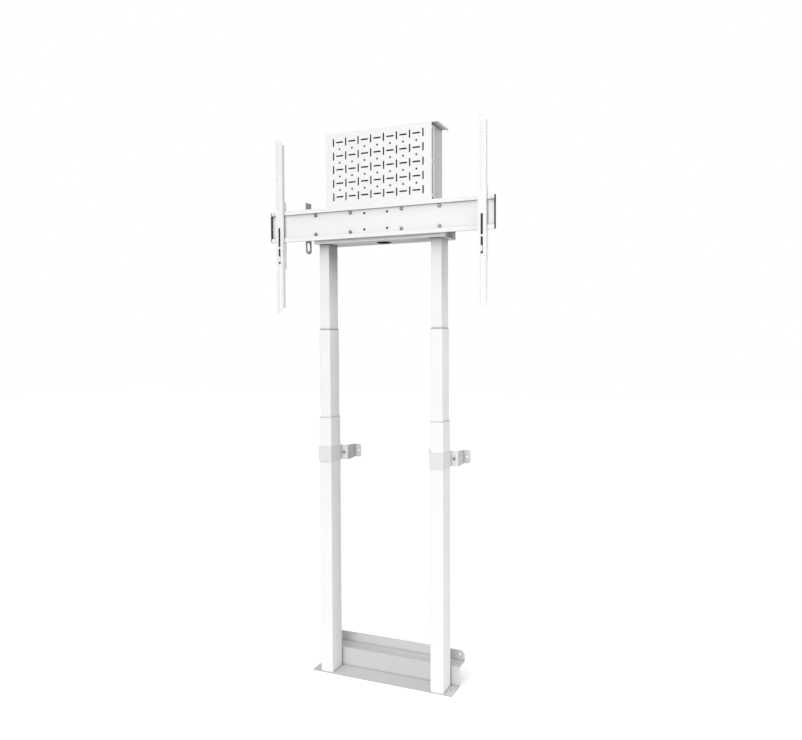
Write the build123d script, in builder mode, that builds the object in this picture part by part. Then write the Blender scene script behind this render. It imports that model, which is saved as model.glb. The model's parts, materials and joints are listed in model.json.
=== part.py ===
"""Motorised floor-to-wall television stand.

Millimetres. X runs along the screen, Y runs from the screen side back to the wall, Z is up.
The origin is on the floor, midway between the two lifting columns, on their centre plane.
The stand is drawn nearly fully raised; the two inner column stages slide down from here.
"""
import os

from build123d import *

os.makedirs("parts", exist_ok=True)

# Base: one folded steel sheet that stands on the floor and steps back to the wall
base_sheet = 3.0
base_overhang = 59.0
base_front_margin = 3.0
base_step_height = 74.4
base_wall_distance = 103.0
base_wall_plate_height = 37.6
base_corner_radius = 20.0
floor_corner_radius = 5.0
floor_hole_diameter = 8.5
floor_hole_inset = 19.8
floor_hole_y = 5.5
wall_hole_diameter = 8.5
wall_hole_inset = 18.0
wall_hole_drop = 16.5

# Columns: three nested steel tubes each, the lowest standing on the base sheet
column_spacing = 450.0
column_width = 50.0
column_depth = 80.0
column_corner_radius = 4.0
corner_step = 1.0
tube_wall = 1.5
stage_gap = 1.0
running_clearance = 0.05
lower_tube_length = 979.0
mid_tube_showing = 332.0
upper_tube_showing = 323.0
stage_stroke = 320.0
stage_overrun = 5.0
foot_gap = 9.0
bush_depth = 60.0
bush_lip = 2.0
slider_depth = 60.0

# Telescopic screw drive inside each column
screw_diameter = 10.0
mid_screw_bore = 19.0
mid_screw_diameter = 25.0
head_screw_bore = 12.0
head_screw_diameter = 16.0
base_screw_foot_height = 30.0
mid_plug_height = 30.0
mid_nut_height = 30.0
screw_engagement = 32.0
screw_end_gap = 3.0
motor_diameter = 34.0
motor_length = 150.0
motor_top_gap = 6.0

# Column fixing bolts through the back of the base
column_bolt_diameter = 8.0
column_bolt_low = 24.0
column_bolt_rise = 30.0
column_bolt_head_diameter = 13.0
column_bolt_head_height = 5.0
nut_plate_sheet = 4.0
nut_plate_width = 30.0
nut_plate_margin = 12.0

# Wall clamps: a front collar round each lowest tube, screwed to a bracket that reaches the wall
clamp_drop = 139.0
collar_sheet = 2.0
collar_tall = 56.0
collar_seat = 0.3
bracket_sheet = 3.0
bracket_half_width = 55.0
bracket_flange_half_span = 82.0
bracket_flange_tall = 50.0
bracket_chamfer = 14.0
bracket_flange_radius = 7.0
bracket_hole_diameter = 8.0
bracket_hole_offset = 70.0
bracket_side_hole_diameter = 4.0
bracket_side_hole_spacing = 15.0
clamp_screw_diameter = 6.0
clamp_screw_head_diameter = 11.0
clamp_screw_head_height = 3.5
clamp_screw_head_round = 2.2
clamp_nut_flats = 10.0
clamp_nut_height = 5.0

# Crossbar: a channel open below, closed by a cover, on top of the columns
crossbar_overhang = 37.0
crossbar_front = -45.0
crossbar_back = 68.0
crossbar_height = 32.0
crossbar_sheet = 2.0
cover_sheet = 1.5
cover_end_inset = 7.0
cover_seat = 0.2
cover_tab_height = 12.0
leg_opening_margin = 7.0
cable_hole_diameter = 51.0
cable_hole_y = 15.0
grommet_wall = 4.0
grommet_lip = 1.5
grommet_reach = 6.0
top_screw_offset = 22.0
top_screw_diameter = 6.0
top_screw_head_diameter = 11.0
top_screw_head_height = 3.5
top_screw_head_round = 2.2
top_block_height = 14.0
cover_screw_diameter = 3.0
cover_screw_head_diameter = 6.0
cover_screw_head_height = 1.8
cover_screw_head_round = 1.1
cover_screw_inset = 26.0

# Beam: an open channel that faces the screen
beam_half_length = 440.6
beam_offset = 4.5
beam_rise = 12.0
beam_height = 116.5
beam_front = -66.4
beam_depth = 11.0
beam_sheet = 2.0
beam_lip_height = 15.0
beam_bolt_inner_column = 102.0
beam_bolt_outer_column = 246.5
beam_bolt_inset = 23.5
beam_bolt_diameter = 8.0
beam_bolt_head_diameter = 12.5
beam_bolt_head_height = 4.5
beam_bolt_head_round = 3.2
beam_bolt_socket_flats = 5.0
beam_bolt_socket_depth = 2.5
beam_small_hole_column = 45.4
beam_small_hole_inset = 29.0
beam_small_hole_diameter = 5.5
beam_plug_head_diameter = 8.5
beam_plug_head_height = 1.2
beam_plug_head_round = 0.8
beam_plug_tail = 2.0
beam_plug_clearance = 0.05
beam_nut_flats = 13.0
beam_nut_height = 6.0
end_cap_thickness = 3.0
end_cap_ear_depth = 17.0
end_cap_corner = 4.0
cap_screw_inset = 10.5
cap_screw_drop = 8.5
cap_screw_diameter = 3.0
cap_screw_head_diameter = 6.0
cap_screw_head_height = 2.0
cap_screw_head_round = 1.2

# Head brackets: folded plates between the beam and the crossbar
head_bracket_sheet = 3.0
head_bracket_margin = 12.0
head_bracket_end_margin = 14.0
gusset_from_bolts = 23.0
gusset_from_column = 20.0
head_gusset_back = 30.0

# Screen arms hung over the beam
arm_end_inset = 40.6
arm_length = 654.0
arm_width = 30.0
arm_sheet = 2.5
arm_flange_depth = 16.5
arm_beam_clearance = 0.1
arm_end_flat = 12.0
arm_end_drop = 19.5
arm_hole_count = 20
arm_hole_pitch = 12.5
arm_hole_inset = 27.0
arm_hole_diameter = 8.7
arm_slot_count = 4
arm_slot_inset = 16.0
arm_slot_pitch = 78.0
arm_slot_length = 72.5
arm_slot_width = 8.5
arm_notch_clearance = 0.5
hook_depth = 26.5
hook_top_rise = 36.0
hook_bottom_drop = 103.0
hook_lap = 10.0
hook_corner = 6.0
hook_back_clearance = 0.6
latch_width = 24.0
latch_pad_depth = 7.5
latch_pad_lap = 2.0
latch_below_beam = 3.0
latch_body_height = 48.0
latch_pawl_lap = 8.0
latch_corner = 2.0
latch_ring_width = 15.5
latch_ring_height = 31.0
latch_ring_rim = 2.5
latch_ring_foot = 8.0
latch_ring_corner = 4.0
latch_ring_sheet = 4.0

# Media box above the beam
box_half_width = 209.5
box_front = -40.5
box_beam_gap = 4.5
box_height = 270.0
box_sheet = 2.0
box_side_set_back = 12.0
box_side_flange = 24.0
box_side_flange_lip = 8.0
panel_sheet = 1.5
panel_return = 28.0
panel_return_rise = 9.0
panel_slit = 8.0
panel_bridge = 12.0
panel_seat = 0.3
panel_rise = 2.0
panel_column_pitch = 51.0
panel_row_pitch = 50.0
panel_columns = 8
panel_rows = 5
panel_top_margin = 35.0
panel_slot_length = 30.0
panel_slot_width = 5.5
panel_hole_diameter = 7.5
panel_screw_diameter = 4.0
panel_screw_head_diameter = 8.0
panel_screw_head_height = 3.0
panel_screw_head_round = 2.0
apron_half_width = 170.0
apron_drop = 26.0
box_screw_inset = 20.0
box_screw_count = 4
box_screw_rise = 18.0
floor_slot_half_length = 75.0
floor_slot_front = -5.0
floor_slot_width = 50.0
back_opening_half_width = 95.0
back_opening_sill = 8.0
back_opening_head = 10.0

# Cable guide plate beside the left column, behind the beam
guide_stand_off = 41.0
guide_sheet = 3.0
guide_front = -36.0
guide_depth = 40.0
guide_rise = 129.0
guide_drop = 31.0
guide_eye_width = 22.0
guide_eye_height = 34.0
guide_eye_margin = 9.0
guide_foot_length = 60.0
guide_screw_spacing = 16.0
guide_screw_inset = 9.0

# Screws that hold the media box and the cable guide plate to the crossbar
crossbar_screw_diameter = 5.0
crossbar_screw_length = 8.0
crossbar_screw_head_diameter = 9.0
crossbar_screw_head_height = 3.0
crossbar_screw_head_round = 2.0

# Control box on the crossbar
control_half_length = 90.0
control_front = -38.0
control_back = 58.0
control_height = 42.0
control_wall = 2.5
control_radius = 5.0
inlet_width = 27.0
inlet_height = 20.0
inlet_depth = 16.0
inlet_flange = 2.0
inlet_x = 55.0
inlet_wall = 2.0
inlet_pin_length = 8.0
inlet_pin_pitch = 5.5
inlet_pin_thickness = 2.0
inlet_pin_height = 4.0

# Heights and planes that follow from the sizes above
floor_top = base_sheet
column_half_spacing = column_spacing / 2
base_half_length = column_half_spacing + base_overhang
crossbar_half_length = column_half_spacing + crossbar_overhang
lower_top = floor_top + lower_tube_length
mid_top = lower_top + mid_tube_showing
crossbar_bottom = mid_top + upper_tube_showing
crossbar_top = crossbar_bottom + crossbar_height
stage_step = tube_wall + stage_gap
mid_width = column_width - 2 * stage_step
mid_depth = column_depth - 2 * stage_step
upper_width = mid_width - 2 * stage_step
upper_depth = mid_depth - 2 * stage_step
mid_corner_radius = column_corner_radius - corner_step
upper_corner_radius = mid_corner_radius - corner_step
column_bolt_heights = (column_bolt_low, column_bolt_low + column_bolt_rise)
nut_plate_bottom = column_bolt_heights[0] - nut_plate_margin
nut_plate_top = column_bolt_heights[1] + nut_plate_margin
mid_bottom = nut_plate_top + foot_gap + stage_stroke
mid_plug_top = mid_bottom + mid_plug_height
upper_bottom = mid_plug_top + stage_stroke + stage_overrun
upper_top = crossbar_top - crossbar_sheet
clamp_height = lower_top - clamp_drop
web_front = column_depth / 2
web_back = web_front + base_sheet
step_top = base_step_height
wall_plate_top = step_top + base_wall_plate_height
wall_plane = base_wall_distance
base_front = -(column_depth / 2 + base_front_margin)
beam_back = beam_front + beam_depth
beam_web_front = beam_back - beam_sheet
beam_bottom = crossbar_bottom + beam_rise
beam_top = beam_bottom + beam_height
notch_front = beam_front - arm_beam_clearance
arm_back = notch_front - latch_pad_depth
arm_front = arm_back - arm_sheet
box_back = crossbar_back + box_sheet
box_bottom = beam_top + box_beam_gap
box_top = box_bottom + box_height
guide_x = -(crossbar_half_length + guide_stand_off)
guide_inner = guide_x + guide_sheet / 2


def block(x_range, y_range, z_range, mode=Mode.ADD, radius=0.0):
    """Box between pairs of coordinates, its upright edges rounded by radius."""
    width = x_range[1] - x_range[0]
    depth = y_range[1] - y_range[0]
    centre = ((x_range[0] + x_range[1]) / 2, (y_range[0] + y_range[1]) / 2)
    with BuildSketch(Plane.XY.offset(z_range[0])) as outline:
        with Locations(centre):
            if radius > 0:
                RectangleRounded(width, depth, radius)
            else:
                Rectangle(width, depth)
    extrude(outline.sketch, amount=z_range[1] - z_range[0], mode=mode)


def facing_front(y):
    """Plane at the given Y, drawn in X and Z, its normal towards the screen side."""
    return Plane(origin=(0, y, 0), x_dir=(1, 0, 0), z_dir=(0, -1, 0))


def facing_right(x):
    """Plane at the given X, drawn in Y and Z, its normal towards +X."""
    return Plane(origin=(x, 0, 0), x_dir=(0, 1, 0), z_dir=(1, 0, 0))


def round_bar(plane, points, diameter, length, mode=Mode.ADD):
    """Round bars or bores from a plane; a negative length runs against its normal."""
    with BuildSketch(plane) as outline:
        with Locations(*points):
            Circle(diameter / 2)
    extrude(outline.sketch, amount=length, mode=mode)


def drill(plane, points, diameter, length):
    """Round holes that start on a plane and run along its normal."""
    round_bar(plane, points, diameter, length, mode=Mode.SUBTRACT)


def button_heads(plane, points, diameter, height, rounding):
    """Round screw heads on a plane, their outer edges rounded; a negative height runs against its normal."""
    round_bar(plane, points, diameter, height)
    normal = Axis(plane.origin, plane.z_dir)
    outer_rims = edges(Select.LAST).sort_by(normal, reverse=height < 0)[-len(points):]
    fillet(outer_rims, rounding)


def hex_bar(plane, points, flats, bore, length):
    """Hexagon nuts that start on a plane and run along its normal."""
    with BuildSketch(plane) as outline:
        with Locations(*points):
            RegularPolygon(flats / 2, 6, major_radius=False)
            Circle(bore / 2, mode=Mode.SUBTRACT)
    extrude(outline.sketch, amount=length)


def tube_profile(width, depth, radius):
    """Rounded rectangular tube outline with its hollow, centred on the current location."""
    RectangleRounded(width, depth, radius)
    RectangleRounded(width - 2 * tube_wall, depth - 2 * tube_wall, radius - tube_wall, mode=Mode.SUBTRACT)


def save(part, name):
    """Label the finished piece and write it out."""
    part.label = name
    export_step(part, "parts/" + name + ".step")


# Folded base sheet
column_centres = ((-column_half_spacing, 0), (column_half_spacing, 0))
with BuildPart() as floor_base:
    with BuildSketch(facing_right(-base_half_length)):
        with BuildLine():
            Polyline(
                (base_front, 0),
                (web_back, 0),
                (web_back, step_top - base_sheet),
                (wall_plane, step_top - base_sheet),
                (wall_plane, wall_plate_top),
                (wall_plane - base_sheet, wall_plate_top),
                (wall_plane - base_sheet, step_top),
                (web_front, step_top),
                (web_front, floor_top),
                (base_front, floor_top),
                close=True,
            )
        make_face()
    extrude(amount=2 * base_half_length)
    wall_plate_corners = floor_base.edges().filter_by(Axis.Y).group_by(Axis.Z)[-1]
    fillet(wall_plate_corners, base_corner_radius)
    floor_corners = [
        edge
        for edge in floor_base.edges().filter_by(Axis.Z)
        if abs(edge.center().Y - base_front) < base_sheet / 2
    ]
    fillet(floor_corners, floor_corner_radius)
    floor_hole_x = base_half_length - floor_hole_inset
    drill(
        Plane.XY,
        ((-floor_hole_x, floor_hole_y), (floor_hole_x, floor_hole_y)),
        floor_hole_diameter,
        floor_top,
    )
    wall_hole_x = base_half_length - wall_hole_inset
    wall_hole_z = wall_plate_top - wall_hole_drop
    drill(
        facing_front(wall_plane),
        ((-wall_hole_x, wall_hole_z), (wall_hole_x, wall_hole_z)),
        wall_hole_diameter,
        base_sheet,
    )
    column_bolt_points = [(x, z) for x, _ in column_centres for z in column_bolt_heights]
    drill(facing_front(web_back), column_bolt_points, column_bolt_diameter, base_sheet)
save(floor_base.part, "floor_base")

# Bolts that hold the columns to the back of the base, with a nut plate inside each tube
nut_plate_front = web_front - tube_wall - nut_plate_sheet
with BuildPart() as column_bolts:
    round_bar(
        facing_front(web_back + column_bolt_head_height),
        column_bolt_points,
        column_bolt_head_diameter,
        column_bolt_head_height,
    )
    round_bar(
        facing_front(web_back),
        column_bolt_points,
        column_bolt_diameter,
        web_back - nut_plate_front,
    )
save(column_bolts.part, "column_bolts")

with BuildPart() as column_nut_plates:
    for column_x, _ in column_centres:
        block(
            (column_x - nut_plate_width / 2, column_x + nut_plate_width / 2),
            (nut_plate_front, nut_plate_front + nut_plate_sheet),
            (nut_plate_bottom, nut_plate_top),
        )
    drill(facing_front(web_front), column_bolt_points, column_bolt_diameter, web_front)
save(column_nut_plates.part, "column_nut_plates")

mid_inner_width = mid_width - 2 * tube_wall
mid_inner_depth = mid_depth - 2 * tube_wall
mid_inner_radius = mid_corner_radius - tube_wall
column_inner_width = column_width - 2 * tube_wall
column_inner_depth = column_depth - 2 * tube_wall
column_inner_radius = column_corner_radius - tube_wall
bush_bore_growth = 2 * running_clearance
slider_width = column_inner_width - bush_bore_growth
slider_thickness = stage_gap - running_clearance
screw_top = mid_bottom + screw_engagement + stage_overrun
head_screw_bottom = mid_plug_top + stage_stroke + screw_end_gap
mid_screw_top = head_screw_bottom + screw_engagement + stage_overrun
motor_top = upper_top - top_block_height - motor_top_gap
motor_bottom = motor_top - motor_length
collar_bottom = clamp_height - collar_tall / 2
collar_half = column_width / 2 + collar_seat
collar_inner_front = -(column_depth / 2 + collar_seat)
ear_y = web_front - collar_sheet
clamp_screw_offset = (collar_half + collar_sheet + bracket_half_width) / 2

for side, column_x in (("left", -column_half_spacing), ("right", column_half_spacing)):
    here = (column_x, 0)

    # Lowest tube, fixed to the base
    with BuildPart() as lower_tube:
        with BuildSketch(Plane.XY.offset(floor_top)):
            with Locations(here):
                tube_profile(column_width, column_depth, column_corner_radius)
        extrude(amount=lower_tube_length)
        own_bolts = [(column_x, z) for z in column_bolt_heights]
        drill(facing_front(web_front), own_bolts, column_bolt_diameter, tube_wall)
    save(lower_tube.part, "lower_tube_" + side)

    # Guide bush in the mouth of the lowest tube, with a lip over its rim
    with BuildPart() as lower_bush:
        with BuildSketch(Plane.XY.offset(lower_top - bush_depth)):
            with Locations(here):
                RectangleRounded(column_inner_width, column_inner_depth, column_inner_radius)
        extrude(amount=bush_depth)
        with BuildSketch(Plane.XY.offset(lower_top)):
            with Locations(here):
                RectangleRounded(column_width, column_depth, column_corner_radius)
        extrude(amount=bush_lip)
        with BuildSketch(Plane.XY.offset(lower_top - bush_depth)):
            with Locations(here):
                RectangleRounded(
                    mid_width + bush_bore_growth,
                    mid_depth + bush_bore_growth,
                    mid_corner_radius,
                )
        extrude(amount=bush_depth + bush_lip, mode=Mode.SUBTRACT)
    save(lower_bush.part, "lower_bush_" + side)

    # Fixed screw of the drive, with a thick foot that stands on the base
    with BuildPart() as base_screw:
        round_bar(Plane.XY.offset(floor_top), (here,), mid_screw_diameter, base_screw_foot_height)
        round_bar(Plane.XY.offset(floor_top), (here,), screw_diameter, screw_top - floor_top)
    save(base_screw.part, "base_screw_" + side)

    # Middle tube with its guide slider, plug and hollow screw
    with BuildPart() as mid_tube:
        with BuildSketch(Plane.XY.offset(mid_bottom)):
            with Locations(here):
                tube_profile(mid_width, mid_depth, mid_corner_radius)
        extrude(amount=mid_top - mid_bottom)
    save(mid_tube.part, "mid_tube_" + side)

    with BuildPart() as mid_slider:
        with BuildSketch(Plane.XY.offset(mid_bottom)):
            with Locations(here):
                RectangleRounded(
                    mid_width + 2 * slider_thickness,
                    mid_depth + 2 * slider_thickness,
                    column_inner_radius,
                )
                RectangleRounded(mid_width, mid_depth, mid_corner_radius, mode=Mode.SUBTRACT)
        extrude(amount=slider_depth)
    save(mid_slider.part, "mid_slider_" + side)

    with BuildPart() as mid_bush:
        with BuildSketch(Plane.XY.offset(mid_top - bush_depth)):
            with Locations(here):
                RectangleRounded(mid_inner_width, mid_inner_depth, mid_inner_radius)
        extrude(amount=bush_depth)
        with BuildSketch(Plane.XY.offset(mid_top)):
            with Locations(here):
                RectangleRounded(mid_width, mid_depth, mid_corner_radius)
        extrude(amount=bush_lip)
        with BuildSketch(Plane.XY.offset(mid_top - bush_depth)):
            with Locations(here):
                RectangleRounded(
                    upper_width + bush_bore_growth,
                    upper_depth + bush_bore_growth,
                    upper_corner_radius,
                )
        extrude(amount=bush_depth + bush_lip, mode=Mode.SUBTRACT)
    save(mid_bush.part, "mid_bush_" + side)

    with BuildPart() as mid_plug:
        with BuildSketch(Plane.XY.offset(mid_bottom)):
            with Locations(here):
                RectangleRounded(mid_inner_width, mid_inner_depth, mid_inner_radius)
                Circle(screw_diameter / 2 + running_clearance, mode=Mode.SUBTRACT)
        extrude(amount=mid_plug_height)
    save(mid_plug.part, "mid_plug_" + side)

    with BuildPart() as mid_screw:
        round_bar(
            Plane.XY.offset(mid_plug_top),
            (here,),
            mid_screw_diameter,
            mid_screw_top - mid_plug_top,
        )
        drill(
            Plane.XY.offset(mid_plug_top),
            (here,),
            mid_screw_bore,
            mid_screw_top - mid_nut_height - mid_plug_top,
        )
        drill(
            Plane.XY.offset(mid_screw_top - mid_nut_height),
            (here,),
            head_screw_diameter + 2 * running_clearance,
            mid_nut_height,
        )
    save(mid_screw.part, "mid_screw_" + side)

    # Upper tube with its guide slider, top block, motor and drive screw
    with BuildPart() as upper_tube:
        with BuildSketch(Plane.XY.offset(upper_bottom)):
            with Locations(here):
                tube_profile(upper_width, upper_depth, upper_corner_radius)
        extrude(amount=upper_top - upper_bottom)
    save(upper_tube.part, "upper_tube_" + side)

    with BuildPart() as upper_slider:
        with BuildSketch(Plane.XY.offset(upper_bottom)):
            with Locations(here):
                RectangleRounded(
                    upper_width + 2 * slider_thickness,
                    upper_depth + 2 * slider_thickness,
                    mid_inner_radius,
                )
                RectangleRounded(upper_width, upper_depth, upper_corner_radius, mode=Mode.SUBTRACT)
        extrude(amount=slider_depth)
    save(upper_slider.part, "upper_slider_" + side)

    with BuildPart() as motor:
        round_bar(Plane.XY.offset(motor_bottom), (here,), motor_diameter, motor_length)
        round_bar(Plane.XY.offset(motor_top), (here,), motor_diameter / 2, motor_top_gap)
    save(motor.part, "drive_motor_" + side)

    with BuildPart() as head_screw:
        with BuildSketch(Plane.XY.offset(head_screw_bottom)):
            with Locations(here):
                Circle(head_screw_diameter / 2)
                Circle(head_screw_bore / 2, mode=Mode.SUBTRACT)
        extrude(amount=motor_bottom - head_screw_bottom)
    save(head_screw.part, "head_screw_" + side)

    # Clamp collar round the lowest tube
    clamp_screws_here = [(column_x + out * clamp_screw_offset, clamp_height) for out in (-1, 1)]
    with BuildPart() as collar:
        with BuildSketch(Plane(origin=(column_x, 0, collar_bottom))):
            with BuildLine():
                Polyline(
                    (-bracket_half_width, web_front),
                    (-bracket_half_width, ear_y),
                    (-collar_half - collar_sheet, ear_y),
                    (-collar_half - collar_sheet, collar_inner_front - collar_sheet),
                    (collar_half + collar_sheet, collar_inner_front - collar_sheet),
                    (collar_half + collar_sheet, ear_y),
                    (bracket_half_width, ear_y),
                    (bracket_half_width, web_front),
                    (collar_half, web_front),
                    (collar_half, collar_inner_front),
                    (-collar_half, collar_inner_front),
                    (-collar_half, web_front),
                    close=True,
                )
            make_face()
        extrude(amount=collar_tall)
        drill(facing_front(web_front), clamp_screws_here, clamp_screw_diameter, collar_sheet)
    save(collar.part, "wall_clamp_" + side)

    # Wall bracket behind the tube: a web, two arms back to the wall and two flanges
    arm_inner = bracket_half_width - bracket_sheet
    flange_front = wall_plane - bracket_sheet
    flange_bottom = clamp_height - bracket_flange_tall / 2
    flange_top = clamp_height + bracket_flange_tall / 2
    with BuildPart() as bracket:
        block(
            (column_x - bracket_half_width, column_x + bracket_half_width),
            (web_front, web_front + bracket_sheet),
            (collar_bottom, collar_bottom + collar_tall),
        )
        for arm_x in (column_x - bracket_half_width, column_x + arm_inner):
            with BuildSketch(facing_right(arm_x)):
                with BuildLine():
                    Polyline(
                        (web_front, collar_bottom),
                        (flange_front - bracket_chamfer, collar_bottom),
                        (flange_front, flange_bottom),
                        (wall_plane, flange_bottom),
                        (wall_plane, flange_top),
                        (flange_front, flange_top),
                        (web_front, collar_bottom + collar_tall),
                        close=True,
                    )
                make_face()
            extrude(amount=bracket_sheet)
        for out in (-1, 1):
            flange_centre = column_x + out * (arm_inner + bracket_flange_half_span) / 2
            flange_width = bracket_flange_half_span - arm_inner
            with BuildSketch(facing_front(wall_plane)):
                with Locations((flange_centre, clamp_height)):
                    RectangleRounded(flange_width, bracket_flange_tall, bracket_flange_radius)
                with Locations((column_x + out * (arm_inner + bracket_flange_radius), clamp_height)):
                    Rectangle(2 * bracket_flange_radius, bracket_flange_tall)
            extrude(amount=bracket_sheet)
        bracket_holes = (
            (column_x - bracket_hole_offset, clamp_height),
            (column_x + bracket_hole_offset, clamp_height),
        )
        drill(facing_front(wall_plane), bracket_holes, bracket_hole_diameter, bracket_sheet)
        drill(
            facing_front(web_front + bracket_sheet),
            clamp_screws_here,
            clamp_screw_diameter,
            bracket_sheet,
        )
        side_hole_y = (web_front + flange_front) / 2
        side_holes = (
            (side_hole_y, clamp_height - bracket_side_hole_spacing / 2),
            (side_hole_y, clamp_height + bracket_side_hole_spacing / 2),
        )
        drill(
            facing_right(column_x - bracket_half_width),
            side_holes,
            bracket_side_hole_diameter,
            2 * bracket_half_width,
        )
    save(bracket.part, "wall_bracket_" + side)

# Screws and nuts of both wall clamps
clamp_screw_points = [
    (column_x + out * clamp_screw_offset, clamp_height) for column_x, _ in column_centres for out in (-1, 1)
]
clamp_stack = collar_sheet + bracket_sheet
with BuildPart() as clamp_screws:
    button_heads(
        facing_front(ear_y),
        clamp_screw_points,
        clamp_screw_head_diameter,
        clamp_screw_head_height,
        clamp_screw_head_round,
    )
    round_bar(
        facing_front(ear_y + clamp_stack + clamp_nut_height),
        clamp_screw_points,
        clamp_screw_diameter,
        clamp_stack + clamp_nut_height,
    )
save(clamp_screws.part, "clamp_screws")

with BuildPart() as clamp_nuts:
    hex_bar(
        facing_front(ear_y + clamp_stack + clamp_nut_height),
        clamp_screw_points,
        clamp_nut_flats,
        clamp_screw_diameter,
        clamp_nut_height,
    )
save(clamp_nuts.part, "clamp_nuts")

# Crossbar channel, open below and at its ends
crossbar_middle = (crossbar_front + crossbar_back) / 2
top_screw_points = [
    (column_x, out * top_screw_offset) for column_x, _ in column_centres for out in (-1, 1)
]
with BuildPart() as crossbar:
    block(
        (-crossbar_half_length, crossbar_half_length),
        (crossbar_front, crossbar_back),
        (crossbar_bottom, crossbar_top),
    )
    block(
        (-crossbar_half_length, crossbar_half_length),
        (crossbar_front + crossbar_sheet, crossbar_back - crossbar_sheet),
        (crossbar_bottom, crossbar_top - crossbar_sheet),
        mode=Mode.SUBTRACT,
    )
    drill(
        Plane.XY.offset(crossbar_top - crossbar_sheet),
        top_screw_points,
        top_screw_diameter,
        crossbar_sheet,
    )
    drill(
        Plane.XY.offset(crossbar_top - crossbar_sheet),
        ((0, cable_hole_y),),
        cable_hole_diameter,
        crossbar_sheet,
    )
    box_screw_height = crossbar_bottom + box_screw_rise
    box_screw_x = apron_half_width - box_screw_inset
    box_screw_pitch = 2 * box_screw_x / (box_screw_count - 1)
    box_screw_columns = [n * box_screw_pitch - box_screw_x for n in range(box_screw_count)]
    box_screw_points = [(x, box_screw_height) for x in box_screw_columns]
    drill(facing_front(crossbar_back), box_screw_points, crossbar_screw_diameter, crossbar_sheet)
    guide_centre_y = guide_front + guide_depth / 2
    guide_screw_x = guide_inner + guide_foot_length - guide_screw_inset
    guide_screw_reach = guide_screw_spacing / 2
    guide_screw_points = [(guide_screw_x, guide_centre_y + out * guide_screw_reach) for out in (-1, 1)]
    drill(
        Plane.XY.offset(crossbar_top - crossbar_sheet),
        guide_screw_points,
        crossbar_screw_diameter,
        crossbar_sheet,
    )
    cover_screw_z = crossbar_bottom + cover_sheet + cover_tab_height / 2
    cover_screw_x = crossbar_half_length - cover_screw_inset
    cover_screw_points = [(out * cover_screw_x, cover_screw_z) for out in (-1, 1)]
    drill(facing_front(crossbar_back), cover_screw_points, cover_screw_diameter, crossbar_sheet)
save(crossbar.part, "crossbar")

# Cover under the crossbar, with an opening round each column and the cable hole
cover_half_length = crossbar_half_length - cover_end_inset
cover_front = crossbar_front + crossbar_sheet + cover_seat
cover_back = crossbar_back - crossbar_sheet - cover_seat
leg_opening_x = upper_width / 2 + leg_opening_margin
leg_opening_y = upper_depth / 2 + leg_opening_margin / 2
with BuildPart() as crossbar_cover:
    block(
        (-cover_half_length, cover_half_length),
        (cover_front, cover_back),
        (crossbar_bottom, crossbar_bottom + cover_sheet + cover_tab_height),
    )
    block(
        (-cover_half_length, cover_half_length),
        (cover_front + cover_sheet, cover_back - cover_sheet),
        (crossbar_bottom + cover_sheet, crossbar_bottom + cover_sheet + cover_tab_height),
        mode=Mode.SUBTRACT,
    )
    for column_x, _ in column_centres:
        block(
            (column_x - leg_opening_x, column_x + leg_opening_x),
            (-leg_opening_y, leg_opening_y),
            (crossbar_bottom, crossbar_bottom + cover_sheet),
            mode=Mode.SUBTRACT,
        )
    drill(Plane.XY.offset(crossbar_bottom), ((0, cable_hole_y),), cable_hole_diameter, cover_sheet)
    drill(facing_front(cover_back), cover_screw_points, cover_screw_diameter, cover_sheet)
save(crossbar_cover.part, "crossbar_cover")

with BuildPart() as cover_screws:
    button_heads(
        facing_front(crossbar_back),
        cover_screw_points,
        cover_screw_head_diameter,
        -cover_screw_head_height,
        cover_screw_head_round,
    )
    round_bar(
        facing_front(crossbar_back),
        cover_screw_points,
        cover_screw_diameter,
        crossbar_back - cover_back + cover_sheet,
    )
save(cover_screws.part, "cover_screws")

# Lining of the cable hole
with BuildPart() as cable_grommet:
    with BuildSketch(Plane.XY.offset(crossbar_bottom - grommet_lip)):
        with Locations((0, cable_hole_y)):
            Circle(cable_hole_diameter / 2 + grommet_lip)
    extrude(amount=grommet_lip)
    round_bar(
        Plane.XY.offset(crossbar_bottom),
        ((0, cable_hole_y),),
        cable_hole_diameter,
        grommet_reach,
    )
    drill(
        Plane.XY.offset(crossbar_bottom - grommet_lip),
        ((0, cable_hole_y),),
        cable_hole_diameter - 2 * grommet_wall,
        grommet_lip + grommet_reach,
    )
save(cable_grommet.part, "cable_grommet")

# Blocks that close the column tops, and the screws down into them through the crossbar
with BuildPart() as top_blocks:
    for column_x, _ in column_centres:
        block(
            (column_x - upper_width / 2 + tube_wall, column_x + upper_width / 2 - tube_wall),
            (-upper_depth / 2 + tube_wall, upper_depth / 2 - tube_wall),
            (upper_top - top_block_height, upper_top),
            radius=upper_corner_radius - tube_wall,
        )
    drill(
        Plane.XY.offset(upper_top - top_block_height),
        top_screw_points,
        top_screw_diameter,
        top_block_height,
    )
save(top_blocks.part, "top_blocks")

with BuildPart() as top_screws:
    button_heads(
        Plane.XY.offset(crossbar_top),
        top_screw_points,
        top_screw_head_diameter,
        top_screw_head_height,
        top_screw_head_round,
    )
    round_bar(
        Plane.XY.offset(upper_top - top_block_height),
        top_screw_points,
        top_screw_diameter,
        top_block_height + crossbar_sheet,
    )
save(top_screws.part, "top_screws")

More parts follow.
